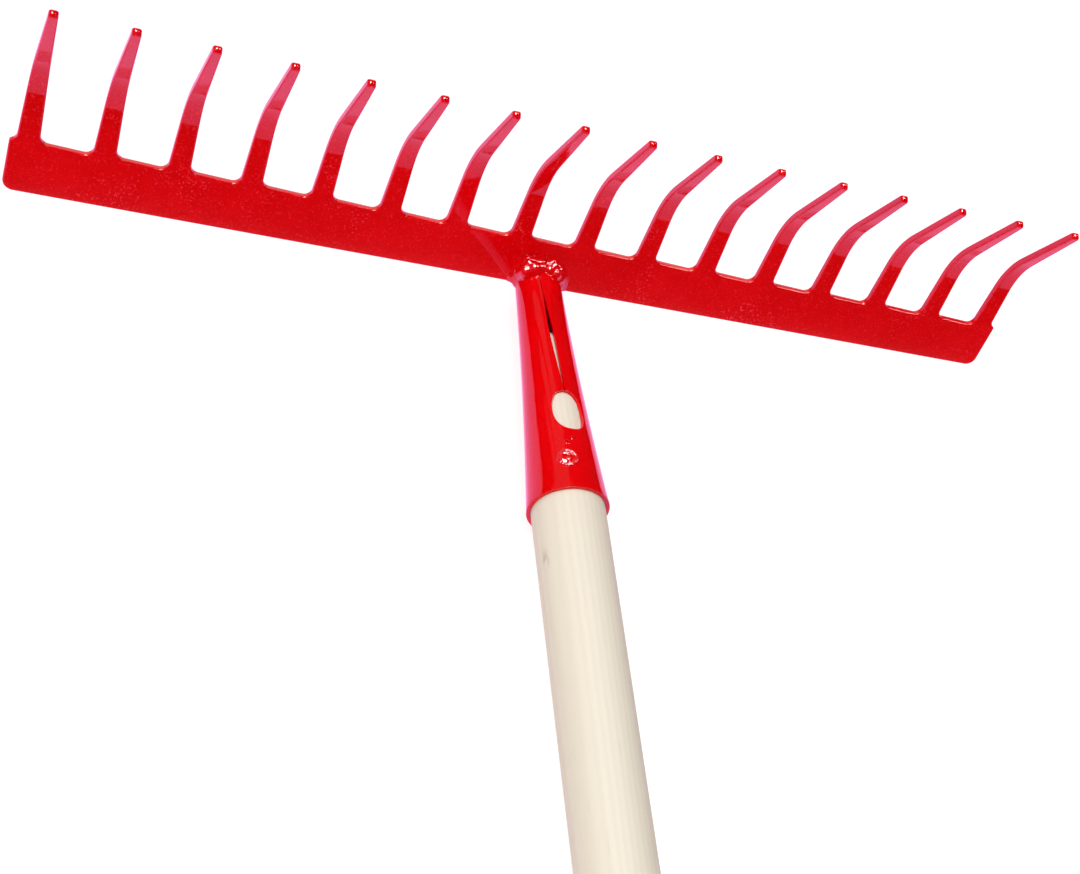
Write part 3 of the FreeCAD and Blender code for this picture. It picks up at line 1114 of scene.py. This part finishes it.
@dataclass
class Weld:
    """A bead of weld metal, made of drops that have run together."""

    node: str
    paint: bpy.types.Material
    drops: Sequence[Lump]
    skirt: Optional[Skirt] = None
    grain: float = 0.34 * MM
    ripple: float = 0.16 * MM
    ripple_size: float = 2.8 * MM
    smoothing: int = 22

    def build(self) -> bpy.types.Object:
        """Model the bead, dress it and put it on the rake.

        Returns:
            The piece.
        """
        balls = [self.ball(drop) for drop in self.drops]
        if self.skirt:
            balls.append(self.skirt.build())
        activate(balls[0])
        for ball in balls:
            ball.select_set(True)
        bpy.ops.object.join()
        bead = named(self.node + "_bead", self.paint)
        modify(bead, "REMESH", mode="VOXEL", voxel_size=self.grain, use_smooth_shade=True)
        modify(bead, "SMOOTH", factor=0.5, iterations=self.smoothing)
        ripples = bpy.data.textures.new(self.node + "_ripples", "CLOUDS")
        ripples.noise_scale = self.ripple_size
        modify(bead, "DISPLACE", texture=ripples, texture_coords="LOCAL", strength=self.ripple)
        modify(bead, "SUBSURF", levels=1, render_levels=1)
        settle(bead)
        fit_in(bead, "red_paint_weld", self.node)
        return bead

    @staticmethod
    def ball(drop: Lump) -> bpy.types.Object:
        """Make one drop of metal.

        Args:
            drop: Its place and size.

        Returns:
            The ball.
        """
        deselect_all()
        bpy.ops.mesh.primitive_uv_sphere_add(segments=32, ring_count=16, location=drop.place)
        ball = bpy.context.object
        ball.scale = drop.size
        bpy.context.view_layer.update()
        settle(ball)
        return ball


def lump(place: Iterable[float], size: Iterable[float]) -> Lump:
    """A drop of metal from its place and its three radii in millimetres."""
    return Lump(tuple(length * MM for length in place), tuple(length * MM for length in size))


def lumps(drops: Iterable[Drop]) -> list[Lump]:
    """Round drops of metal."""
    return [lump(place, (radius, radius, radius)) for *place, radius in drops]


@dataclass
class Welds:
    """The beads that join the socket to the plate, and the button on the socket."""

    paint: bpy.types.Material
    left: tuple[Drop, ...] = (
        (-7.4, 107.0, 6.6, 3.0), (-4.6, 107.5, 8.6, 2.9), (-9.2, 107.6, 4.4, 1.9),
        (-1.4, 107.9, 9.4, 2.1), (-7.0, 109.2, 9.4, 1.6), (-3.6, 105.4, 8.1, 1.4),
    )
    right: tuple[Drop, ...] = (
        (1.6, 107.8, 9.1, 2.0), (4.4, 107.1, 8.0, 2.5), (7.0, 107.2, 6.2, 2.3),
        (3.4, 109.2, 10.4, 1.6), (6.2, 108.8, 8.9, 1.6),
    )
    under: tuple[Drop, ...] = (
        (-7.2, 110.8, -4.9, 1.3), (-5.0, 110.8, -6.3, 1.8), (-2.6, 110.9, -7.2, 2.2),
        (0.3, 111.0, -7.6, 2.4), (3.2, 110.8, -7.3, 2.6), (6.0, 110.5, -6.2, 2.5),
        (8.2, 110.2, -4.6, 2.2), (-4.6, 110.3, -4.0, 3.0), (-1.4, 110.2, -4.6, 3.4),
        (2.0, 110.2, -4.6, 3.4), (4.9, 110.3, -4.0, 3.0),
    )
    skirt_gap: float = 0.15 * MM
    skirt_low: float = -2.1 * MM
    button: tuple[Drop, ...] = (
        (-4.8, 14.9, 13.2, 1.0), (-3.5, 14.8, 13.6, 0.9), (-3.9, 12.1, 13.6, 1.0),
        (-3.6, 10.8, 13.7, 0.8), (-1.5, 10.8, 14.1, 0.85), (-0.7, 12.6, 14.1, 0.6),
    )
    button_from_mouth: float = 13.1
    button_turn: float = math.radians(-16.0)
    button_size: Place = (2.9, 2.9, 0.75)
    button_sunk: float = 0.75
    rim_radius: float = 3.15
    rim_count: int = 20
    rim_size: Place = (0.85, 0.85, 0.80)

    def side_skirt(self, side: int) -> Skirt:
        """The fillet on one side of the seam, above the bar's free edge.

        Args:
            side: -1 for the left and 1 for the right.

        Returns:
            The fillet.
        """
        seam = ((side * self.skirt_gap, 0, 0), (-side, 0, 0))
        edge = ((0, 0, self.skirt_low), (0, 0, -1))
        return Skirt((seam, edge))

    def puddle(self) -> list[Lump]:
        """The flat button with a raised rim, on the socket's curved wall.

        Returns:
            The rim's drops, and then the button.
        """
        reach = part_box("tack_weld")[1].z / MM - self.button_sunk
        rim = []
        for step in range(self.rim_count):
            way = 2 * math.pi * step / self.rim_count
            angle = self.button_turn + self.rim_radius * math.cos(way) / reach
            y = self.button_from_mouth + self.rim_radius * math.sin(way)
            rim.append(lump((reach * math.sin(angle), y, reach * math.cos(angle)), self.rim_size))
        turn = self.button_turn
        middle = (reach * math.sin(turn), self.button_from_mouth, reach * math.cos(turn))
        return [*rim, lump(middle, self.button_size)]

    def build(self) -> list[bpy.types.Object]:
        """Model all the beads.

        Returns:
            The pieces.
        """
        pieces = [
            Weld("weld_left", self.paint, lumps(self.left), self.side_skirt(-1)).build(),
            Weld("weld_right", self.paint, lumps(self.right), self.side_skirt(1)).build(),
            Weld("weld_under", self.paint, lumps(self.under)).build(),
        ]
        button = Weld(
            "tack_weld",
            self.paint,
            self.puddle() + lumps(self.button),
            grain=0.18 * MM,
            ripple=0.05 * MM,
            ripple_size=1.2 * MM,
            smoothing=3,
        )
        return [*pieces, button.build()]


@dataclass
class HandleScrew:
    """The screw on the socket's underside, whose CAD shape is kept."""

    plating: bpy.types.Material

    def build(self) -> bpy.types.Object:
        """Dress the screw.

        Returns:
            The CAD node.
        """
        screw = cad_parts["handle_screw"]
        dress(screw, self.plating)
        LOG.info("handle_screw: CAD shape kept, zinc plated")
        return screw


class Use(Enum):
    """What a lamp is for: light on matt surfaces, or a bright shape for glossy ones to mirror."""

    LIGHT = "light"
    MIRRORED = "mirrored"


@dataclass(frozen=True)
class Lamp:
    """A far lamp: where it is, how wide it looks in degrees, its power and its use."""

    name: str
    toward: Place
    spread: float
    power: float
    use: Use


@dataclass
class Studio:
    """A pale floor, soft light from all round and the camera."""

    floor_size: float = 14.0
    floor_grain: Grain = Grain(3.0)
    floor_tones: tuple[Colour, Colour] = (grey(0.28), grey(0.30))
    floor_roughness: float = 0.9
    glow_tones: tuple[Colour, Colour] = (grey(0.91605), grey(0.93))
    glow: float = 0.86
    camera_place: Place = (-0.2169, -0.3425, 0.4478)
    camera_target: Place = (0.00594, 0.05498, -0.02795)
    camera_roll: float = math.radians(30.61)
    camera_near: float = 10 * MM
    lens: float = 57.3
    sensor_width: float = 36.0
    sky_tint: Colour = grey(1.0)
    table_tint: Colour = (1.0, 0.42, 0.80, 1.0)
    room_light: float = 0.03
    table_light: float = 1.5
    table_low: Step = (-0.14, -0.04)
    table_slope: float = 0.36
    table_edge: Step = (0.0, 0.03)
    cloth_light: float = 0.26
    cloth_low: Step = (0.36, 0.44)
    cloth_edge: Step = (-0.16, -0.02)
    wall_light: float = 1.1
    wall_edge: Step = (0.78, 0.90)
    wall_low: Step = (-0.04, 0.06)
    lamp_distance: float = 2.0
    lamps: tuple[Lamp, ...] = (
        Lamp("top_cloth", (-0.20, 0.12, 0.95), 70.0, 2.55, Use.LIGHT),
        Lamp("near_cloth", (-0.25, -0.75, 0.62), 60.0, 1.25, Use.LIGHT),
        Lamp("key_box", (-0.27, 0.0, 0.96), 34.0, 9.0, Use.MIRRORED),
        Lamp("rim_box", (0.52, 0.06, 0.85), 18.0, 2.2, Use.MIRRORED),
    )

    def build(self) -> None:
        """Set up the floor, the light and the camera."""
        self.make_floor()
        self.make_sky()
        self.make_lamps()
        self.make_camera()
        bpy.context.scene.view_settings.view_transform = "Standard"
        LOG.info("studio: %d lamps, lens %.1f mm", len(self.lamps), self.lens)

    def make_floor(self) -> None:
        """Lay a glowing light table under the rake, on which its shadows fade."""
        deselect_all()
        bpy.ops.mesh.primitive_plane_add(size=self.floor_size, location=(0, 0, CAD_BOX[0].z))
        floor = bpy.context.object
        floor.name = "studio_floor"
        shader = Shader.material("studio_floor")
        grain = shader.noise(shader.place(), self.floor_grain)
        dress(floor, shader.finish(
            Base_Color=shader.mix(*self.floor_tones, grain),
            Roughness=self.floor_roughness,
            Specular_IOR_Level=0.0,
            Emission_Color=shader.mix(*self.glow_tones, grain),
            Emission_Strength=self.glow,
        ))
        floor.visible_glossy = False

    def make_sky(self) -> None:
        """Surround the rake with a dim room: a bright table, a cloth above it and a wall behind the head."""
        world = bpy.data.worlds.new("studio")
        bpy.context.scene.world = world
        shader = Shader(world)
        direction = shader.node("ShaderNodeTexCoord", {}, {}, "Generated")
        aside, toward, upward = (shader.axis(direction, name) for name in "XYZ")
        table = 1.0 - upward.between(*self.table_low)
        table = table * (toward * self.table_slope - upward).between(*self.table_edge)
        cloth = upward.between(*self.cloth_low) * (1.0 - aside.between(*self.cloth_edge))
        wall = toward.between(*self.wall_edge) * upward.between(*self.wall_low)
        colour = shader.mix(self.sky_tint, self.table_tint, table)
        strength = self.room_light + table * self.table_light
        strength = strength + cloth * self.cloth_light + wall * self.wall_light
        seen = shader.node("ShaderNodeLightPath", {}, {}, "Is Camera Ray")
        colour = shader.mix(colour, self.sky_tint, seen)
        strength = strength + (1.0 - strength) * seen
        light = shader.node("ShaderNodeBackground", {}, {"Color": colour, "Strength": strength})
        shader.show(light, "ShaderNodeOutputWorld")

    def make_lamps(self) -> None:
        """Hang two wide cloths of light and two bright boxes that the gloss mirrors."""
        for lamp in self.lamps:
            deselect_all()
            toward = Vector(lamp.toward)
            bpy.ops.object.light_add(type="SUN", location=toward * self.lamp_distance)
            light = bpy.context.object
            light.name = lamp.name
            light.data.angle = math.radians(lamp.spread)
            light.data.energy = lamp.power
            light.rotation_euler = toward.to_track_quat("Z", "Y").to_euler()
            light.visible_glossy = lamp.use is Use.MIRRORED
            light.visible_diffuse = lamp.use is Use.LIGHT

    def make_camera(self) -> None:
        """Point the camera at the head."""
        deselect_all()
        bpy.ops.object.camera_add(location=self.camera_place)
        camera = bpy.context.object
        aim = Vector(self.camera_target) - Vector(self.camera_place)
        turn = aim.to_track_quat("-Z", "Y").to_matrix().to_4x4()
        roll = Matrix.Rotation(self.camera_roll, 4, "Z")
        camera.matrix_world = Matrix.Translation(self.camera_place) @ turn @ roll
        camera.data.lens = self.lens
        camera.data.sensor_width = self.sensor_width
        camera.data.clip_start = self.camera_near
        camera.data.dof.use_dof = False
        bpy.context.scene.camera = camera


def main() -> None:
    """Build and dress every piece, then set up the studio."""
    logging.basicConfig(level=logging.INFO, format="%(name)s %(message)s")
    plate_enamel = Enamel("red_enamel_plate").material()
    socket_enamel = Enamel(
        "red_enamel_socket",
        glint_share=0.2,
        peel_depth=0.006 * MM,
        run_depth=0.15 * MM,
        pips=((-2.97, 20.6, 12.86, 1.1), (-0.46, 22.6, 13.05, 1.0), (-1.9, 21.9, 12.93, 0.6)),
    ).material()
    weld_enamel = Enamel(
        "red_enamel_weld",
        glint_share=0.2,
        peel_size=1.5 * MM,
        peel_depth=0.07 * MM,
        roughness=0.03,
        specular=0.5,
        coat=0.6,
    ).material()
    ToothedPlate(plate_enamel).build()
    socket = RolledSocket(socket_enamel)
    socket.build()
    TurnedHandle(PaleWood().material(), socket).build()
    Welds(weld_enamel).build()
    HandleScrew(ZincPlate().material()).build()
    Studio().build()


if __name__ == "__main__":
    main()
